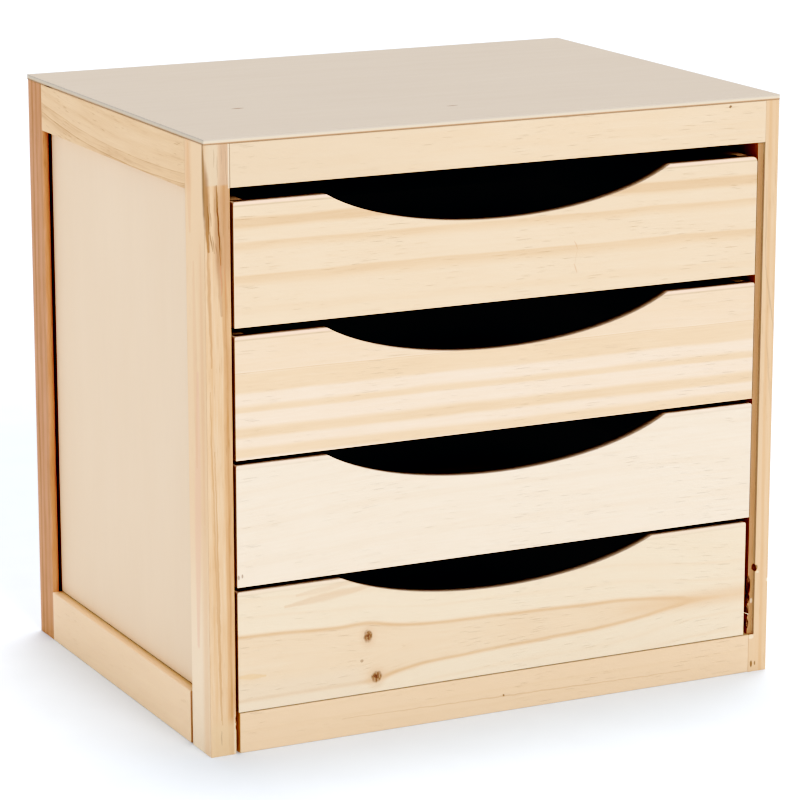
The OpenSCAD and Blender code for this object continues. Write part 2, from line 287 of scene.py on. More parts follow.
GAP_SHADOW = paint(34, 16, 8)


# Pine

# Lengths of its patterns in millimetres, along the fibres, across the rings and into the board
SLOW_WAVE, SMALL_WAVE = (70, 16, 16), (22, 5, 9)
FIBRES, HAIRS, CLOUDS = (24, 1.3, 1.6), (12, 0.4, 0.6), (45, 8, 12)
FLECKS, FLECK_GROUPS = (11.0, 0.36, 0.6), (40, 9, 8)
SHIVER = (7.0, 7.0, 7.0)
SHIVER_REACH = 1.2
PINE_GLOSS = 0.3
PINE_RELIEF = 0.06
MIDDLE_WOOD = 0.42                   # the darkness at which the middle tone shows


def growth(span, width, seed):
    """Bands of an unmarked board: a list of (start, end, darkness, rise, fall) up to span."""
    source = random.Random(seed)
    darkest, most_bands = 0.4, 7
    bands = []
    start = width * source.uniform(-0.2, 0.6)
    while start < span and len(bands) < most_bands:
        wide = width * source.uniform(0.35, 0.6)
        darkness = darkest * source.uniform(0.6, 1.0)
        bands.append((start, start + wide, darkness, 0.6 * wide, 0.2 * wide))
        start += width * source.uniform(0.9, 1.3)
    return bands


def add_stops(stops, pairs):
    """Adds (place, number) pairs to a profile, each a little past the one before it."""
    for place, number in pairs:
        stops.append((max(place, stops[-1][0] + 0.01), number))


def band_stops(bands, base):
    stops = [(min(band[0] for band in bands) - 1, base)]
    for start, end, darkness, rise, fall in sorted(bands):
        add_stops(stops, ((start, base), (start + rise, darkness), (end - fall, darkness),
                          (end, base)))
    return stops + [(stops[-1][0] + 1, base)]


def line_stops(lines):
    stops = [(min(line[0] for line in lines) - 3, 0.0)]
    for centre, half_width, darkness in sorted(lines):
        add_stops(stops, ((centre - half_width, 0.0), (centre, darkness),
                          (centre + half_width, 0.0)))
    return stops + [(stops[-1][0] + 3, 0.0)]


# Ways in which the rings run along a board. Each returns a height across the rings.

def straight(lean=0.0, tilt=0.3):
    def rings(finish, along, across, depth):
        height = finish.math("MULTIPLY_ADD", along, lean, across)
        return finish.math("MULTIPLY_ADD", depth, tilt, height)
    return rings


def bowed(middle, curve, tilt=0.2):
    """Rings that curve up to both sides of a place along the board."""
    def rings(finish, along, across, depth):
        off = finish.math("SUBTRACT", along, middle)
        height = finish.math("MULTIPLY_ADD", finish.math("MULTIPLY", off, off), -curve, across)
        return finish.math("MULTIPLY_ADD", depth, tilt, height)
    return rings


def rising(slope, reach, tilt=0.2):
    """Rings that rise along the board as far as reach, and then run level."""
    def rings(finish, along, across, depth):
        run = finish.math("SMOOTH_MIN", along, reach, 0.6 * reach)
        height = finish.math("MULTIPLY_ADD", run, -slope, across)
        return finish.math("MULTIPLY_ADD", depth, tilt, height)
    return rings


def between(upper, lower, tilt=0.3):
    """Rings that follow two drawn lines of (place, height), with 0 on the lines themselves."""
    roundness = 0.8                  # keeps the rings smooth halfway between the lines

    def rings(finish, along, across, depth):
        top = finish.profile(along, upper, "CARDINAL")
        bottom = finish.profile(along, lower, "CARDINAL")
        half = finish.math("MULTIPLY", finish.math("SUBTRACT", top, bottom), 0.5)
        off = finish.math("SUBTRACT", across, finish.math("SUBTRACT", top, half))
        distance = finish.math("SQRT", finish.math("MULTIPLY_ADD", off, off, roundness))
        height = finish.math("SUBTRACT", distance, half)
        return finish.math("MULTIPLY_ADD", depth, tilt, height)
    return rings


def pine(name, node, grain, face, tones, bands, lines=(), rings=straight(), wander=1.0, base=0.12,
         fibre=0.22, blotch=0.20, flecks=0.25, top_shade=0.35, top_tint=None, end_tint=END_GRAIN,
         knots=(), spots=(), marks=(), patches=()):
    """Pine of one board. grain is the axis of its fibres and face the axis square to its face.

    Heights and lengths are in millimetres from the low corner of the node's box. bands lists
    (start, end, darkness, rise, fall) and lines (centre, half width, darkness) across the rings.
    knots lists (centre, half length, half height), spots (centre, half sizes, strength,
    colour), marks thin lines as (start, end, radius, strength, colour), and patches lists
    (low, high, softness, strength, colour). Spots, marks and patches are in the cabinet's frame."""
    finish = Finish(name)
    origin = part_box(node)[0] / MILLIMETRE
    parts = finish.split(finish.vector_math("SUBTRACT", finish.place, origin))
    along, across, depth = parts[grain], parts[X + Y + Z - grain - face], parts[face]
    knot_distances = []
    for shape in knots:
        across, distance = finish.knot(along, across, *shape)
        knot_distances.append(distance)

    height = rings(finish, along, across, depth)
    for lengths, amount in ((SLOW_WAVE, wander), (SMALL_WAVE, 0.3 * wander)):
        wave = finish.noise((along, across, depth), lengths, detail=1)
        height = finish.math("ADD", height, finish.math("MULTIPLY_ADD", wave, 2 * amount, -amount))
    darkness = finish.profile(height, band_stops(bands, base))
    if lines:
        darkness = finish.math("ADD", darkness, finish.profile(height, line_stops(lines)))

    grown = (along, height, depth)
    fibres = finish.noise(grown, FIBRES, detail=3)
    hairs = finish.noise(grown, HAIRS, detail=2)
    clouds = finish.noise(grown, CLOUDS, detail=2)
    darkness = finish.vary(darkness, ((fibres, fibre), (hairs, 0.7 * fibre), (clouds, blotch)))
    dashes = finish.noise(grown, FLECKS, detail=1)
    groups = finish.noise(grown, FLECK_GROUPS, detail=0)
    fleck = finish.math("MULTIPLY", finish.fade(dashes, 0.65, 0.77), finish.fade(groups, 0.30, 0.62))
    darkness = finish.math("MULTIPLY_ADD", fleck, flecks, darkness)
    relief = finish.math("MULTIPLY_ADD", fleck, -1.5, hairs)
    colour = finish.stain(finish.grade(darkness, tones, MIDDLE_WOOD), patches)

    # Painted light and shade on upward faces: they are mixed toward the colour given for them. By
    # default that is the late tone, as painted shade against the strong overhead light; a lighter
    # colour, where one is given, is painted light.
    upper = finish.math("MULTIPLY", finish.fade(finish.normal[Z], 0.1, 0.8), top_shade)
    colour = finish.mix(upper, colour, top_tint or tones[2])
    ends = finish.fade(finish.math("ABSOLUTE", finish.normal[grain]), 0.7, 0.98)
    colour = finish.mix(finish.math("MULTIPLY", ends, 0.7), colour, end_tint)
    for distance in knot_distances:
        colour = finish.knot_colour(colour, distance, along, across, hairs)
        relief = finish.math("MULTIPLY_ADD", finish.fade(distance, 1.2, 0.9), -1.0, relief)

    if marks or spots:
        shiver = finish.noise((along, across, depth), SHIVER, detail=3)
        shift = finish.math("MULTIPLY_ADD", shiver, SHIVER_REACH, -SHIVER_REACH / 2)
        shaky = finish.vector_math("ADD", finish.place, finish.join(shift, 0.0, shift))
        for centre, half_sizes, strength, tint in spots:
            off = finish.vector_math("DIVIDE", finish.vector_math("SUBTRACT", shaky, centre),
                                     half_sizes)
            spot = finish.fade(finish.vector_math("LENGTH", off), 1.1, 0.75)
            colour = finish.mix(finish.math("MULTIPLY", spot, strength), colour, tint)
        for start, end, radius, strength, tint in marks:
            line = finish.streak(shaky, start, end, radius)
            colour = finish.mix(finish.math("MULTIPLY", line, strength), colour, tint)
            relief = finish.math("MULTIPLY_ADD", line, -strength, relief)

    finish.feed(finish.shader.inputs["Base Color"], colour)
    finish.feed(finish.shader.inputs["Roughness"], finish.fade(fibres, 0.2, 0.8, 0.74, 0.56))
    finish.shader.inputs["Specular IOR Level"].default_value = PINE_GLOSS
    finish.bump(relief, PINE_RELIEF)
    return finish.material


# Plywood and steel

VENEER = tone(SIDE, (236, 213, 186), (232, 207, 178), (225, 196, 162))
INNER_VENEER = tone(TOP, (230, 208, 178), (224, 200, 168), (214, 186, 152))
TOP_VENEER = tone(TOP, (222, 210, 194), (218, 205, 189), (212, 197, 178))

# The layers along an edge, by their share of the thickness
EDGE_LAYERS = [(0.0, paint(214, 182, 142)), (0.28, paint(226, 198, 160)),
               (0.34, paint(188, 148, 106)), (0.64, paint(196, 156, 114)),
               (0.70, paint(234, 212, 180)), (1.0, paint(240, 222, 194))]
TOP_EDGE = [(0.0, paint(190, 142, 104, FRONT)), (0.22, paint(204, 160, 122, FRONT)),
            (0.32, paint(240, 222, 194, FRONT)), (0.62, paint(240, 224, 200, FRONT)),
            (0.80, paint(222, 209, 192, FRONT)), (1.0, paint(218, 206, 190, FRONT))]

# Lengths of the veneer's patterns in millimetres, as for pine
VENEER_CLOUDS, VENEER_FIGURE, VENEER_FIBRES = (80, 26, 40), (38, 5, 10), (11, 0.6, 3)
VENEER_GLOSS = 0.3
VENEER_RELIEF = 0.04


def plywood(name, node, grain, face, tones, layers=EDGE_LAYERS, marks=(), patches=(), contrast=0.5):
    """Thin plywood: calm veneer on its faces, and layers by thickness along its edges."""
    finish = Finish(name)
    low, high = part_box(node)
    parts = finish.split(finish.vector_math("SUBTRACT", finish.place, low / MILLIMETRE))
    along, across, depth = parts[grain], parts[X + Y + Z - grain - face], parts[face]
    thickness = (high - low)[face] / MILLIMETRE
    broad = finish.noise((along, across, depth), VENEER_CLOUDS, detail=2)
    figure = finish.noise((along, across, depth), VENEER_FIGURE, detail=2)
    fibres = finish.noise((along, across, depth), VENEER_FIBRES, detail=2)
    darkness = finish.vary(0.4, ((broad, 1.3 * contrast), (figure, 1.0 * contrast),
                                 (fibres, 0.6 * contrast)))
    colour = finish.grade(darkness, tones, 0.5)
    edge = finish.fade(finish.math("ABSOLUTE", finish.normal[face]), 0.75, 0.45)
    layer = finish.ramp(finish.math("DIVIDE", depth, thickness), layers)
    colour = finish.mix(finish.math("MULTIPLY", edge, 0.9), colour, layer)
    colour = finish.stain(colour, patches)
    relief = fibres
    for start, end, radius, strength, tint in marks:
        line = finish.streak(finish.place, start, end, radius)
        colour = finish.mix(finish.math("MULTIPLY", line, strength), colour, tint)
        relief = finish.math("MULTIPLY_ADD", line, -3 * strength, relief)
    finish.feed(finish.shader.inputs["Base Color"], colour)
    finish.feed(finish.shader.inputs["Roughness"], finish.fade(figure, 0.2, 0.8, 0.66, 0.52))
    finish.shader.inputs["Specular IOR Level"].default_value = VENEER_GLOSS
    finish.bump(relief, VENEER_RELIEF)
    return finish.material


def drawn_steel():
    """Bright drawn wire with fine scratches."""
    finish = Finish("drawn_steel")
    scratches = finish.noise(finish.xyz, (4.0, 0.2, 0.2), detail=3)
    finish.feed(finish.shader.inputs["Base Color"],
                finish.ramp(scratches, [(0.3, paint(150, 150, 154)), (0.7, paint(196, 196, 200))]))
    finish.feed(finish.shader.inputs["Roughness"], finish.fade(scratches, 0.3, 0.7, 0.28, 0.45))
    finish.shader.inputs["Metallic"].default_value = 1.0
    finish.bump(scratches, 0.01)
    return finish.material


# Boards

SHARP = math.radians(35)             # edges that turn by more than this are eased
SMOOTH = math.radians(40)            # and those that turn by less are shaded smooth


def select_only(piece):
    bpy.ops.object.select_all(action="DESELECT")
    piece.hide_set(False)
    piece.select_set(True)
    bpy.context.view_layer.objects.active = piece


def outer_sides(point, low, high):
    """The sides of the box that a point lies on, as (axis, which end)."""
    return {(axis, end) for axis in (X, Y, Z) for end, corner in ((0, low), (1, high))
            if abs(point[axis] - corner[axis]) < TOUCHING}


def sharp(edge):
    return len(edge.link_faces) == 2 and edge.calc_face_angle() > SHARP


def bevel_edges(chosen, width, segments=2):
    """Rounds the edges of the mesh in edit mode that chosen(edge) picks."""
    mesh = bpy.context.object.data
    bm = bmesh.from_edit_mesh(mesh)
    bpy.ops.mesh.select_all(action="DESELECT")
    bpy.ops.mesh.select_mode(type="EDGE")
    bm.edges.ensure_lookup_table()
    for edge in bm.edges:
        edge.select_set(bool(chosen(edge)))
    bm.select_flush_mode()
    bmesh.update_edit_mesh(mesh)
    bpy.ops.mesh.bevel(offset=width, segments=segments, profile=0.5, affect="EDGES",
                       clamp_overlap=True)


def board_from(node, name):
    """A joined-up copy of a node's solid, ready to be shaped in edit mode."""
    piece = bpy.data.objects.new(name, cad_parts[node].data.copy())
    bpy.context.scene.collection.objects.link(piece)
    piece.data.materials.clear()
    select_only(piece)
    bpy.ops.object.mode_set(mode="EDIT")
    bpy.ops.mesh.select_all(action="SELECT")
    bpy.ops.mesh.remove_doubles(threshold=0.001 * MILLIMETRE)
    bpy.ops.mesh.dissolve_limited(angle_limit=math.radians(0.3))
    return piece


def gouge(piece, centre, size, turn, seed):
    """Cuts one rough hollow out of a board, with a lumpy ball as the cutter."""
    bpy.ops.object.select_all(action="DESELECT")
    bpy.ops.mesh.primitive_ico_sphere_add(subdivisions=3, radius=MILLIMETRE)
    cutter = bpy.context.object
    source = random.Random(seed)
    for vertex in cutter.data.vertices:
        vertex.co *= source.uniform(0.86, 1.1)
    cutter.scale = size
    cutter.rotation_euler = (0.0, math.radians(turn), 0.0)
    cutter.location = Vector(centre) * MILLIMETRE
    bpy.ops.object.transform_apply(location=True, rotation=True, scale=True)
    select_only(piece)
    modifier = piece.modifiers.new("gouge", "BOOLEAN")
    modifier.operation = "DIFFERENCE"
    modifier.solver = "EXACT"
    modifier.object = cutter
    bpy.ops.object.modifier_apply(modifier=modifier.name)
    bpy.data.objects.remove(cutter)


def finish_board(piece, node, body, material, gouges=()):
    """Leaves edit mode, smooths the rounded edges and hands the board to its body."""
    bpy.ops.object.mode_set(mode="OBJECT")
    for number, (centre, size, turn) in enumerate(gouges):
        gouge(piece, centre, size, turn, number)
    bpy.ops.object.shade_smooth_by_angle(angle=SMOOTH)
    modifier = piece.modifiers.new("even_shading", "WEIGHTED_NORMAL")
    modifier.keep_sharp = True
    bpy.ops.object.modifier_apply(modifier=modifier.name)
    piece.data.materials.clear()
    piece.data.materials.append(material)
    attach(piece, body)
    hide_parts(node)
    return piece


def straight_board(node, body, grain, material, ease=0.45, ease_ends=0.18, gouges=()):
    """A board with its long edges eased, and its end edges only just broken."""
    piece = board_from(node, node + "_board")
    low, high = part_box(node)

    def arris(edge, along_grain):
        sides = [outer_sides(v.co, low, high) for v in edge.verts]
        shared = sides[0] & sides[1]
        on_end = any(axis == grain for axis, end in shared)
        return sharp(edge) and len(shared) >= 2 and on_end != along_grain

    bevel_edges(lambda edge: arris(edge, True), ease * MILLIMETRE)
    bevel_edges(lambda edge: arris(edge, False), ease_ends * MILLIMETRE, segments=1)
    return finish_board(piece, node, body, material, gouges)


def pine_board(node, grain, face, tones, bands, body="cabinet", slot="pine_frame", ease=0.45,
               gouges=(), **wood):
    """A straight board in pine of its own."""
    material = pine(node + "_pine", node, grain, face, tones, bands, **wood)
    return straight_board(node, body, grain, material, ease=ease, gouges=gouges)


def plywood_board(node, grain, face, tones, ease=0.15, ease_ends=0.18, **sheet):
    """A panel of plywood of its own."""
    material = plywood(node + "_plywood", node, grain, face, tones, **sheet)
    return straight_board(node, "cabinet", grain, material, ease=ease,
                          ease_ends=ease_ends)


def dress(node, material):
    """Gives a solid that keeps its own mesh its finish."""
    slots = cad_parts[node].data.materials
    slots.clear()
    slots.append(material)


def on_front(start, end, radius, strength, colour):
    """A thin mark on the front of the cabinet, from one (x, z) to another."""
    return ((start[0], FRONT_FACE, start[1]), (end[0], FRONT_FACE, end[1]), radius, strength,
            colour)


# The posts

SMUDGE = paint(204, 156, 120, FRONT)
SMUDGE_CORE = paint(176, 126, 90, FRONT)
SMUDGE_TAIL = paint(196, 130, 96)
UPPER_PALE, UPPER_TAN = paint(234, 212, 182, FRONT), paint(222, 190, 162, FRONT)
FOOT_PALE = paint(237, 207, 168, FRONT)
CORNER_BROWN, CORNER_TAN = paint(170, 122, 88, FRONT), paint(196, 144, 100, FRONT)
LONG_STREAK = paint(206, 156, 108, FRONT)
SIDE_PAINTED_LIGHT, SIDE_FOOT = paint(242, 209, 171, SIDE), paint(243, 223, 196, SIDE)
SIDE_EDGE, SIDE_TOP = paint(226, 186, 146, SIDE), paint(226, 182, 140, SIDE)
PINK_STREAK, ORANGE_STREAK = paint(228, 184, 158, SIDE), paint(224, 174, 130, SIDE)
TAN_STREAK = paint(222, 176, 136, SIDE)
RIGHT_SIDE_PAINTED_LIGHT = paint(240, 208, 170, SIDE)
BACK_TOP = paint(236, 206, 180, SIDE)
STRIP = paint(170, 130, 100, 0.95)
STRIP_SIDE = paint(192, 169, 144, 0.95)
SHADED = paint(196, 124, 80)
HOLLOW_SHADE = paint(104, 56, 30)


def make_left_post():
    """The post in front at the left, with its smudge, pitch lines and chipped inner edge."""
    node = "front_left_post"
    low, high = [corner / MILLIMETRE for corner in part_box(node)]
    left, right, face, back = low.x, high.x, low.y, high.y
    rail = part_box("front_top_rail")[0].z / MILLIMETRE
    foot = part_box("front_bottom_rail")[1].z / MILLIMETRE

    def front_streak(x1, z1, x2, z2, radius, strength, colour):
        return on_front((left + x1, z1), (left + x2, z2), radius, strength, colour)

    def side_streak(y1, z1, y2, z2, radius, strength, colour):
        return (left, face + y1, z1), (left, face + y2, z2), radius, strength, colour

    front_patches = [
        ((left + 4.4, face - 1, 196), (None, face + 0.5, rail + 1.5), (1.4, 0.3, 7), 0.62, SMUDGE),
        ((left + 0.5, face - 1, rail + 1.5), (left + 6, face + 0.5, None), (0.8, 0.2, 0.5), 0.75,
         UPPER_PALE),
        ((left + 6, face - 1, rail + 1.5), (right, face + 0.5, None), (0.8, 0.2, 0.5), 0.65,
         UPPER_TAN),
        ((left + 0.4, face - 1, None), (right - 0.4, face + 0.5, 14), (0.4, 0.3, 3), 0.75,
         FOOT_PALE)]
    # Painted light: the first side patch repaints the whole side face lighter, so that it shows as
    # bright as the front under the dimmer side light.
    side_patches = [
        ((left - 1, face + 0.5, None), (left + 0.3, back, None), (0.1, 0.4, 1), 0.80, SIDE_PAINTED_LIGHT),
        ((left - 1, face + 0.5, None), (left + 0.3, back, 70), (0.1, 0.4, 40), 0.80, SIDE_FOOT),
        ((left - 1, face + 0.3, None), (left + 0.3, face + 6.5, 205), (0.2, 2.5, 18), 0.55,
         SIDE_EDGE),
        ((left - 1, back - 6, rail - 2), (left + 0.3, back, None), (0.2, 2.0, 4), 0.60, SIDE_TOP)]
    # Painted highlights: thin pale lines along the post's inner arris, above the top rail and below
    # the bottom rail's top.
    painted_highlights = [
        ((right - 0.9, face - 1, rail), (None, face + 0.6, None), (0.2, 0.2, 0.5), 0.80, PAINTED_HIGHLIGHT),
        ((right - 0.9, face - 1, None), (None, face + 0.6, foot), (0.2, 0.2, 6), 0.70, PAINTED_HIGHLIGHT)]

    front_marks = [
        front_streak(1.4, 150, 4.6, 15, 0.60, 0.50, LONG_STREAK),
        front_streak(3.2, 126, 5.0, 13, 0.55, 0.60, LONG_STREAK),
        front_streak(4.6, 10.5, 4.7, 4.5, 0.45, 0.50, GREY_LINE),
        front_streak(4.8, rail + 1.0, 6.8, rail - 50, 1.9, 0.38, SMUDGE_CORE),
        front_streak(5.2, rail + 1.6, 6.6, rail - 30, 0.42, 0.90, PITCH),
        front_streak(6.5, rail - 24, 6.8, rail - 42, 0.50, 0.42, SMUDGE_TAIL),
        front_streak(8.2, rail - 30, 8.8, rail - 48, 0.35, 0.35, SMUDGE_TAIL),
        ((left, face + 1.4, 251), (left + 1.5, face, 206), 2.0, 0.80, CORNER_BROWN),
        front_streak(1.0, 214, 2.4, 160, 1.0, 0.45, CORNER_TAN),
        front_streak(1.5, 224, 1.9, 213, 0.34, 0.58, PITCH),
        front_streak(2.3, 225, 2.8, 216, 0.30, 0.48, PITCH),
        front_streak(2.3, 214, 3.2, 206, 0.38, 0.63, PITCH),
        front_streak(3.3, 212, 3.9, 205, 0.30, 0.48, PITCH),
        front_streak(4.5, 209, 4.9, 205, 0.26, 0.43, PITCH),
        front_streak(4.2, 246, 4.2, 239, 0.25, 0.50, GREY_LINE),
        front_streak(5.6, 243, 5.7, 235, 0.28, 0.50, GREY_LINE),
        front_streak(7.4, 247, 7.4, 240, 0.25, 0.50, GREY_LINE),
        front_streak(9.2, 245, 9.1, 236, 0.30, 0.50, GREY_LINE)]
    side_marks = [
        side_streak(8.6, 156, 11.4, 44, 4.6, 0.50, PINK_STREAK),
        side_streak(15.5, 246, 14.5, 212, 3.0, 0.35, ORANGE_STREAK),
        side_streak(11.5, 200, 10.5, 118, 3.0, 0.32, TAN_STREAK),
        side_streak(4.5, 208, 3.5, 96, 2.2, 0.30, TAN_STREAK)]

    pine_board(node, Z, Y, POST_TONE, [(1.4, 3.6, 0.34, 0.9, 0.9), (7.2, 12.4, 0.56, 1.0, 0.4)],
               lines=[(9.3, 0.9, 0.20)], rings=straight(0.0035, 0.06), wander=0.6, base=0.20,
               blotch=0.45, fibre=0.5, ease=0.5,
               patches=front_patches + side_patches + painted_highlights,
               marks=front_marks + side_marks,
               gouges=[((right, face, foot - 2.0), (0.45, 0.8, 1.6), 12),
                       ((right, face, foot - 5.6), (0.40, 0.7, 1.2), -8)])


def make_right_post():
    """The narrower post at the right, with its stopped rebate and torn inner edge."""
    node = "front_right_post"
    low, high = [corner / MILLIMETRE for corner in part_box(node)]
    inner, outer, face = low.x, high.x, low.y
    floor = face + 1.5               # how deep the rebate goes
    strip_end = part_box("front_top_rail")[1].x / MILLIMETRE
    strip_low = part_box("front_bottom_rail")[1].z / MILLIMETRE
    strip_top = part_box("front_top_rail")[0].z / MILLIMETRE

    # Painted shade on the post's inner face beside the drawers, fading out a little way in. The
    # rebate's floor and wall are painted in browns of their own.
    rebate = [
        ((None, floor + 0.1, strip_low), (inner + 0.08, floor + 11, strip_top), (0.03, 0.1, 0.2),
         0.9, SHADED),
        ((inner + 0.1, face - 1, strip_low), (strip_end, floor + 0.4, strip_top),
         (0.05, 0.2, 0.2), 0.9, STRIP),
        ((strip_end - 0.3, face + 0.05, strip_low), (strip_end + 0.12, floor, strip_top),
         (0.15, 0.05, 0.2), 0.9, STRIP_SIDE)]
    # Painted light: the outer side face is repainted lighter, so that it shows as bright as the
    # front under the dimmer side light.
    painted_light_outer_side = ((outer - 0.1, face + 0.5, None), (None, None, None), (0.1, 0.4, 1), 0.75,
                  RIGHT_SIDE_PAINTED_LIGHT)
    # Painted shade: dark brown in the gouged knot hole and chips, with two pitch spots near the
    # foot.
    hollow_shade_and_pitch_spots = [
        ((123.4, face + 1.0, 46.2), (1.1, 3.0, 1.7), 0.95, HOLLOW_SHADE),
        ((inner, floor, 38.2), (1.3, 2.5, 4.6), 0.95, HOLLOW_SHADE),
        ((inner, floor, 32.6), (1.0, 2.5, 2.2), 0.95, HOLLOW_SHADE),
        ((inner, floor, 27.0), (0.6, 2.5, 2.4), 0.90, HOLLOW_SHADE),
        ((inner, floor, 21.4), (0.6, 2.5, 2.2), 0.90, HOLLOW_SHADE),
        ((122.4, face, 3.4), (0.6, 2.0, 1.6), 0.80, PITCH),
        ((124.3, face, 3.6), (0.35, 2.0, 1.0), 0.75, PITCH)]
    # Pale spots by the chips and the knot hole, in the painted highlight colour.
    pale_spots = [
        ((124.7, face, 44.4), (0.8, 2.0, 0.6), 0.80, PAINTED_HIGHLIGHT),
        ((122.7, floor, 31.4), (0.5, 2.0, 1.2), 0.80, PAINTED_HIGHLIGHT),
        ((129.6, face, 40.4), (0.6, 2.0, 0.9), 0.90, PAINTED_HIGHLIGHT),
        ((122.2, face, 15.6), (1.3, 2.0, 1.0), 0.85, PAINTED_HIGHLIGHT)]

    pine_board(node, Z, Y, POST_TONE, [(4.6, 7.2, 0.36, 1.0, 1.2), (8.0, 9.4, 0.30, 0.8, 0.6)],
               rings=straight(0.004, 0.3), wander=0.5, base=0.17, ease=0.35,
               patches=rebate + [painted_light_outer_side], spots=hollow_shade_and_pitch_spots + pale_spots,
               marks=[on_front((124.6, 214), (125.0, 176), 0.5, 0.30, GREY_LINE),
                      on_front((125.0, 178), (129.9, 149), 0.5, 0.40, GREY_LINE),
                      on_front((126.0, 150), (129.0, 118), 0.5, 0.30, GREY_LINE)],
               gouges=[((123.4, face + 0.3, 46.2), (1.1, 1.7, 1.6), 35),
                       ((inner - 0.2, floor, 38.4), (1.25, 1.8, 4.2), 6),
                       ((inner - 0.1, floor, 32.6), (1.0, 1.7, 2.0), -10),
                       ((inner, floor, 27.2), (0.7, 1.5, 2.4), 4),
                       ((inner, floor, 21.6), (0.6, 1.4, 2.0), -6)])
    make_splinter(node, Vector((inner - 1.2, floor, 26.3)) * MILLIMETRE)


def make_splinter(node, place):
    """A sliver of wood that stands off the torn edge."""
    bpy.ops.object.select_all(action="DESELECT")
    bpy.ops.mesh.primitive_cone_add(vertices=5, radius1=0.30 * MILLIMETRE,
                                    radius2=0.05 * MILLIMETRE, depth=3.4 * MILLIMETRE,
                                    rotation=(0.0, math.radians(-65), 0.0), location=place)
    splinter = bpy.context.object
    splinter.name = "front_right_post_splinter"
    bpy.ops.object.transform_apply(location=True, rotation=True, scale=True)
    bpy.ops.object.mode_set(mode="EDIT")
    bpy.ops.mesh.subdivide(number_cuts=2, fractal=0.4, seed=3)
    bpy.ops.object.mode_set(mode="OBJECT")
    splinter.data.materials.append(pine("splinter_pine", node, Z, Y, PALEST_TONE,
                                        [(3.4, 6.0, 0.34, 1.2, 1.4)]))
    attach(splinter, "cabinet")


def make_back_posts():
    for node in ("back_left_post", "back_right_post"):
        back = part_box(node)[1].y / MILLIMETRE
        pine_board(node, Z, X, WARM_TONE,
                   [(1.0, 4.0, 0.45, 1.0, 1.0), (6.0, 9.5, 0.50, 1.4, 1.0),
                    (11.0, 13.2, 0.62, 0.8, 0.6)],
                   rings=straight(0.004, 0.6), wander=1.2, base=0.30, blotch=0.5, fibre=0.6,
                   ease=0.9, patches=[((None, back - 1.4, 222), (None, None, None), (1, 0.5, 6),
                                       0.55, BACK_TOP)])


# The rails

def make_rails():
    pine_board("front_top_rail", X, Y, FRONT_TONE,
               [(2.0, 5.0, 0.22, 1.5, 1.0), (8.0, 11.0, 0.24, 2.0, 1.0),
                (14.0, 16.5, 0.22, 1.5, 1.0)],
               rings=straight(-0.01, 0.2), wander=1.2, base=0.26, blotch=0.3,
               patches=[((None, None, None), (-40, None, None), (70, 1, 1), 0.5,
                         paint(236, 211, 180, FRONT))],
               marks=[on_front((105.5, 246.2), (106.5, 246.4), 0.8, 0.8, PITCH)])
    # The bottom rail's end faces are painted much lighter than end grain, as painted light, so that
    # the end deep in the slit by the post shows brown.
    pine_board("front_bottom_rail", X, Y, RAIL_TONE,
               [(2.0, 4.2, 0.22, 1.5, 0.8), (7.0, 9.6, 0.26, 2.0, 0.8),
                (13.0, 15.5, 0.22, 2.0, 1.0)],
               rings=straight(-0.008, 0.2), wander=1.0, end_tint=paint(255, 200, 128),
               marks=[on_front((1.9, 7.4), (2.4, 6.6), 0.6, 0.8, PITCH),
                      on_front((-72, 7.8), (92, 5.2), 0.4, 0.40, paint(206, 164, 122, FRONT))])
    pine_board("left_top_rail", Y, X, SIDE_TONE,
               [(-3.0, 0.5, 0.52, 2.4, 0.2), (0.7, 5.2, 0.48, 0.6, 1.6),
                (8.2, 11.8, 0.40, 1.6, 1.6), (14.5, 19.0, 0.40, 2.0, 2.0)],
               lines=[(0.5, 0.4, 0.45), (4.5, 0.4, 0.30)], rings=bowed(47, 0.00063), wander=0.9,
               base=0.26, blotch=0.6, fibre=0.55, flecks=0.6)
    # The side rail's top ledge, in shade beside the panel, is painted lighter, as painted light.
    pine_board("left_bottom_rail", Y, X, PALE_SIDE,
               [(4.0, 7.0, 0.24, 2.0, 1.0), (11.0, 14.0, 0.26, 2.0, 1.0)],
               rings=straight(0.02, 0.2), base=0.30, blotch=0.3, top_shade=0.75,
               top_tint=paint(246, 214, 182, SIDE), end_tint=paint(206, 152, 118))
    for node, seed in (("right_top_rail", 21), ("right_bottom_rail", 22)):
        pine_board(node, Y, X, SIDE_TONE, growth(22, 5, seed), rings=straight(0.015))
    for node, seed in (("back_top_rail", 23), ("back_bottom_rail", 24)):
        pine_board(node, X, Y, SIDE_TONE, growth(22, 5.5, seed), rings=straight(-0.012))


# The panels

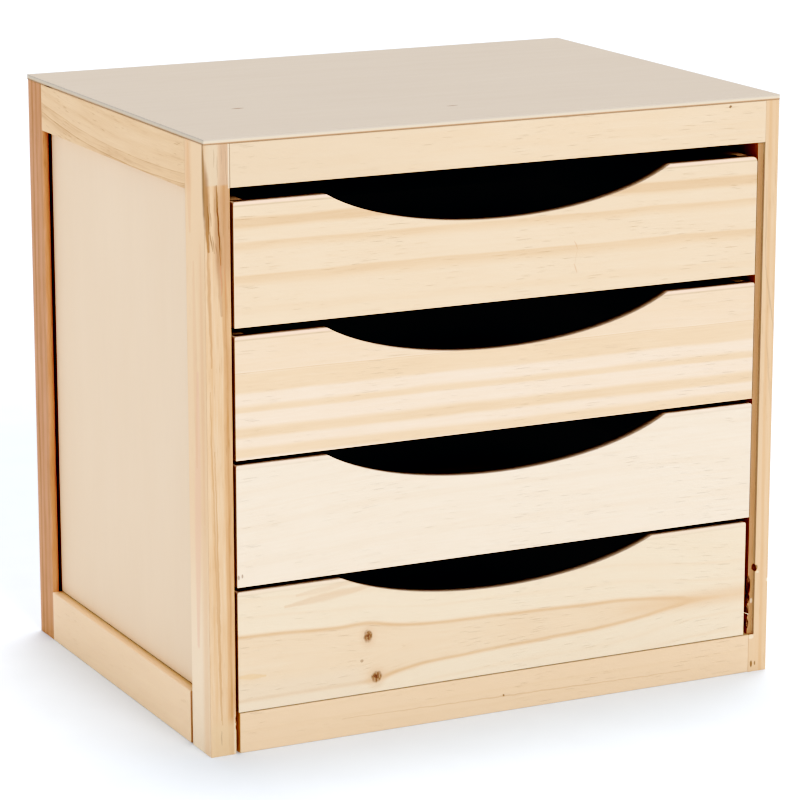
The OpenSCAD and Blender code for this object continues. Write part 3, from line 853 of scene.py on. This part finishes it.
def make_panels():
    back_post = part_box("back_left_post")[0].y / MILLIMETRE
    rail_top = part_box("left_bottom_rail")[1].z / MILLIMETRE
    left = cad_box[0].x / MILLIMETRE
    # Painted shade: the side panels go nearly black where they run into the back posts' grooves, and
    # a painted shadow line runs just above the bottom rail.
    shaded_edges = [((None, back_post - 0.25, None), (None, None, None), (1, 0.12, 1), 1.0,
                     paint(122, 72, 44)),
                    ((None, None, None), (None, None, rail_top + 0.30), (1, 1, 0.15), 0.6,
                     GAP_SHADOW)]
    for node in ("left_panel", "right_panel"):
        plywood_board(node, Z, X, VENEER, contrast=0.35, patches=shaded_edges)
    plywood_board("back_panel", Z, Y, VENEER)
    plywood_board("top_panel", X, Z, TOP_VENEER, layers=TOP_EDGE, contrast=0.45, ease=0.25,
                  ease_ends=0.25,
                  marks=[((-89.5, -31, TOP_FACE), (-84.6, -31, TOP_FACE), 1.1, 0.80, PITCH),
                         ((-8.2, -63, TOP_FACE), (-3.4, -63, TOP_FACE), 0.9, 0.75, PITCH),
                         # a painted gap shadow along the left edge, just under the top
                         ((left, 66, TOP_FACE - 2.2), (left, 75, TOP_FACE - 2.2), 0.6, 0.9,
                          GAP_SHADOW)])
    dress("base_panel", plywood("base_panel_plywood", "base_panel", X, Z, INNER_VENEER))


def make_runners():
    for number in range(1, 5):
        for side in ("left", "right"):
            pine_board(f"{side}_runner_{number}", Y, X, RAIL_TONE, growth(8, 2.6, 30 + number))
    dress("frame_dowels", pine("dowel_pine", "frame_dowels", Y, Z, RAIL_TONE, growth(200, 40, 5)))


# The drawers

TOP_ROUND = 1.8                      # radius of a front's straight upper edge, in millimetres
SHOULDER_SHARE, EASED_SHARE = 0.45, 0.17
SCOOP_REACH = 0.36                   # half of the scoop, as a share of the front's width
ARRIS_HIGHLIGHT = paint(252, 226, 206, FRONT)
EDGE_LINE = paint(200, 172, 134, FRONT)
FLAME = paint(228, 190, 152, FRONT)
FINE_CRACK = paint(190, 134, 92)

# The two lines that the rings of the lowest front follow, as (place, height)
UPPER_RING = [(0, 31.8), (30, 30.4), (60, 28.2), (85, 26.0), (123, 25.4), (156, 24.6),
              (180, 23.6), (206, 20.8), (223, 19.3), (237, 18.9)]
LOWER_RING = [(0, 4.2), (48, 4.8), (66, 6.2), (82, 8.6), (107, 10.2), (139, 11.4),
              (164, 12.4), (189, 14.8), (206, 17.4), (223, 18.2), (237, 18.5)]

# The fronts' pine, from the lowest one up
FRONT_WOOD = {
    1: dict(tones=WARM_FRONT, base=0.10, wander=0.6, flecks=0.14,
            rings=between(UPPER_RING, LOWER_RING),
            bands=[(-14.0, 1.2, 0.40, 2.0, 2.0), (6.0, 8.5, 0.20, 1.5, 1.0),
                   (13.0, 16.0, 0.22, 2.0, 1.0)],
            lines=[(-0.3, 1.5, 0.42)],
            knots=[((57.5, 24.1), 1.8, 2.4), ((61.3, 6.7), 2.2, 2.4)],
            spots=[((-63.1, FRONT_FACE, 31.2), (0.8, 2.0, 0.7), 0.45, PITCH)],
            marks=[on_front((-97, 58.6), (-56, 63.0), 2.4, 0.42, FLAME),
                   on_front((-92, 62.6), (-66, 65.4), 1.8, 0.28, FLAME),
                   on_front((-118.5, 31.8), (-106, 31.2), 1.8, 0.45, paint(238, 198, 144, FRONT))],
            patches=[((62, None, 33.0), (None, None, 39.5), (25, 1, 3.0), 0.6,
                      paint(236, 199, 159, FRONT)),
                     ((None, None, None), (-62, None, 28.5), (5, 1, 2.5), 0.55,
                      paint(243, 224, 198, FRONT))]),
    2: dict(tones=PALEST_TONE, rings=rising(0.07, 70), base=0.22, wander=1.2, flecks=0.16,
            fibre=0.42,
            bands=[(6.0, 11.0, 0.30, 2.0, 2.0), (16.5, 18.0, 0.28, 0.6, 0.6),
                   (22.0, 26.0, 0.32, 1.5, 1.5), (30.5, 31.8, 0.30, 0.5, 0.5),
                   (37.0, 41.0, 0.32, 1.5, 2.0)],
            spots=[((-117.2, FRONT_FACE, 73.4), (0.5, 2.0, 1.1), 0.55, PITCH),
                   ((-115.6, FRONT_FACE, 73.8), (0.4, 2.0, 0.9), 0.55, PITCH)]),
    3: dict(tones=PALE_TONE, rings=straight(0.0046, 0.2), wander=0.7, base=0.10, flecks=0.08,
            bands=[(0.2, 5.9, 0.44, 1.4, 2.4), (8.0, 14.4, 0.48, 1.8, 2.6),
                   (18.6, 23.0, 0.44, 1.2, 2.2), (26.2, 34.9, 0.44, 1.6, 0.4),
                   (35.4, 54.0, 0.30, 0.4, 1.0)],
            lines=[(35.1, 0.45, 0.50)]),
    4: dict(tones=FRONT_TONE, rings=straight(0.004, 0.2), wander=1.1, base=0.18, flecks=0.35,
            bands=[(4.0, 9.0, 0.26, 2.0, 2.0), (15.0, 21.3, 0.52, 4.5, 0.7),
                   (28.8, 34.2, 0.50, 4.0, 0.7), (38.2, 44.6, 0.60, 2.4, 1.6)],
            marks=[on_front((33.2, 196.4), (34.8, 193.0), 0.4, 0.35, FINE_CRACK),
                   on_front((34.8, 193.0), (33.4, 186.6), 0.3, 0.16, paint(190, 140, 98)),
                   on_front((33.0, 186.8), (34.6, 182.8), 0.4, 0.35, FINE_CRACK)],
            # a painted highlight down the left arris
            patches=[((None, None, None), (-117.5, None, None), (0.15, 1, 1), 0.8, PAINTED_HIGHLIGHT)]),
}


def drawer_front(number, material):
    """A drawer front: its outline is eased in front, and most of all along its straight top."""
    node = f"drawer_{number}_front"
    piece = board_from(node, node + "_board")
    bpy.ops.object.mode_set(mode="OBJECT")
    low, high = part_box(node)
    mesh = piece.data
    weights = mesh.attributes.new("bevel_weight_edge", "FLOAT", "EDGE")
    for edge in mesh.edges:
        ends = [mesh.vertices[i].co for i in edge.vertices]
        if any(abs(end.y - low.y) > TOUCHING for end in ends):
            continue
        in_scoop = all(abs(end.x) < SCOOP_REACH * (high.x - low.x) for end in ends)
        if all(end.z > high.z - 0.05 * MILLIMETRE for end in ends):
            weights.data[edge.index].value = 1.0
        elif all(end.z > high.z - 3 * MILLIMETRE for end in ends) and not in_scoop:
            weights.data[edge.index].value = SHOULDER_SHARE
        else:
            weights.data[edge.index].value = EASED_SHARE
    modifier = piece.modifiers.new("eased_outline", "BEVEL")
    modifier.limit_method = "WEIGHT"
    modifier.width = TOP_ROUND * MILLIMETRE
    modifier.segments = 4
    bpy.ops.object.modifier_apply(modifier=modifier.name)
    bpy.ops.object.mode_set(mode="EDIT")
    return finish_board(piece, node, f"drawer_{number}", material)


def make_drawers():
    steel = drawn_steel()
    for number in range(1, 5):
        body = f"drawer_{number}"
        front = body + "_front"
        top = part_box(front)[1].z / MILLIMETRE
        wood = dict(FRONT_WOOD[number])
        clear = 1.0 if number > 2 else 0.4       # the upper two show the rounding most
        # Painted highlight along each front's rounded top: a tan line just under it, then the
        # rounding painted pale. The top face itself is painted toward the same pale colour, as
        # painted light.
        patches = wood.pop("patches", []) + [
            ((None, None, top - 1.9), (None, None, top - 1.3), (1, 1, 0.25), 0.40 * clear,
             EDGE_LINE),
            ((None, None, top - 1.2), (None, None, None), (1, 1, 0.30), 0.70 * clear, ARRIS_HIGHLIGHT)]
        drawer_front(number, pine(front + "_pine", front, X, Y, top_shade=0.8,
                                  top_tint=ARRIS_HIGHLIGHT, patches=patches, **wood))
        for side in ("left", "right"):
            pine_board(f"{body}_{side}_side", Y, X, FRONT_TONE, growth(43, 7, 40 + number),
                       body=body, slot="pine_drawer")
        pine_board(body + "_back", X, Y, FRONT_TONE, growth(43, 8, 50 + number),
                   body=body, slot="pine_drawer")
        bottom = body + "_bottom"
        dress(bottom, plywood(bottom + "_plywood", bottom, X, Z, INNER_VENEER))
        dress(body + "_brads", steel)


# The studio

CAMERA_AZIMUTH = math.radians(-26.30)
CAMERA_ELEVATION = math.radians(13.62)
CAMERA_DISTANCE = 1.541
AIM_RIGHT, AIM_UP = 0.00143, -0.01243        # where the camera aims, from the box's middle
FOCAL_PIXELS = 3570.0
PICTURE_PIXELS = 800.0
SENSOR = 36.0

SKY_LIGHT = 0.72
FRONT_LIGHT = ((0.04, -1.0, 0.50), 1.4, 24)          # from where, strength, degrees across
OVERHEAD_LIGHT = ((0.14, 0.20, 1.0), 1.4, 20)
BLACK_LEVEL = (0.022, 0.022, 0.022)
WHITE_LEVEL = (1.0, 1.014, 1.014)
SOFT_TOE = ((0.05, 0.006), (0.12, 0.055), (0.25, 0.235))     # light, and how it is shown
FLOOR_SIZE = 16.0


def make_camera():
    right = Vector((math.cos(CAMERA_AZIMUTH), math.sin(CAMERA_AZIMUTH), 0.0))
    towards = Vector((math.sin(CAMERA_AZIMUTH) * math.cos(CAMERA_ELEVATION),
                      -math.cos(CAMERA_AZIMUTH) * math.cos(CAMERA_ELEVATION),
                      math.sin(CAMERA_ELEVATION)))
    middle = (cad_box[0] + cad_box[1]) / 2
    target = middle + AIM_RIGHT * right + Vector((0.0, 0.0, AIM_UP))
    data = bpy.data.cameras.new("camera")
    data.sensor_width = SENSOR
    data.lens = FOCAL_PIXELS * SENSOR / PICTURE_PIXELS
    data.clip_start, data.clip_end = 0.05, 60.0
    camera = bpy.data.objects.new("camera", data)
    camera.location = target + CAMERA_DISTANCE * towards
    camera.rotation_mode = "QUATERNION"
    camera.rotation_quaternion = (-towards).to_track_quat("-Z", "Y")
    bpy.context.scene.collection.objects.link(camera)
    bpy.context.scene.camera = camera


def broad_light(name, source, strength, angle):
    """Even light from far off in the direction of source, with soft shadows."""
    data = bpy.data.lights.new(name, "SUN")
    data.energy = strength
    data.angle = math.radians(angle)
    light = bpy.data.objects.new(name, data)
    light.location = Vector(source)
    light.rotation_mode = "QUATERNION"
    light.rotation_quaternion = (-Vector(source)).to_track_quat("-Z", "Y")
    bpy.context.scene.collection.objects.link(light)


def make_lights():
    scene = bpy.context.scene
    world = bpy.data.worlds.new("studio")
    world.use_nodes = True
    background = world.node_tree.nodes["Background"]
    background.inputs["Color"].default_value = (1.0, 1.0, 1.0, 1.0)
    background.inputs["Strength"].default_value = SKY_LIGHT
    scene.world = world
    broad_light("front_light", *FRONT_LIGHT)
    broad_light("overhead_light", *OVERHEAD_LIGHT)
    scene.view_settings.view_transform = "Standard"
    scene.view_settings.use_curve_mapping = True
    mapping = scene.view_settings.curve_mapping
    mapping.black_level = BLACK_LEVEL
    mapping.white_level = WHITE_LEVEL
    for light, shown in SOFT_TOE:
        mapping.curves[3].points.new(light, shown)
    mapping.update()


def make_floor():
    bpy.ops.object.select_all(action="DESELECT")
    bpy.ops.mesh.primitive_plane_add(size=FLOOR_SIZE, location=(0.0, 0.0, 0.0))
    floor = bpy.context.object
    floor.name = "floor"
    finish = Finish("pale_floor")
    grit = finish.noise(finish.xyz, (30, 30, 30), detail=2)
    finish.feed(finish.shader.inputs["Base Color"],
                finish.ramp(grit, [(0.3, paint(233, 241, 249)), (0.7, paint(235, 243, 251))]))
    finish.feed(finish.shader.inputs["Roughness"], finish.fade(grit, 0.3, 0.7, 0.85, 0.95))
    finish.shader.inputs["Specular IOR Level"].default_value = 0.0
    floor.data.materials.append(finish.material)


make_camera()
make_left_post()
make_right_post()
make_back_posts()
make_rails()
make_panels()
make_runners()
make_drawers()
make_lights()
make_floor()
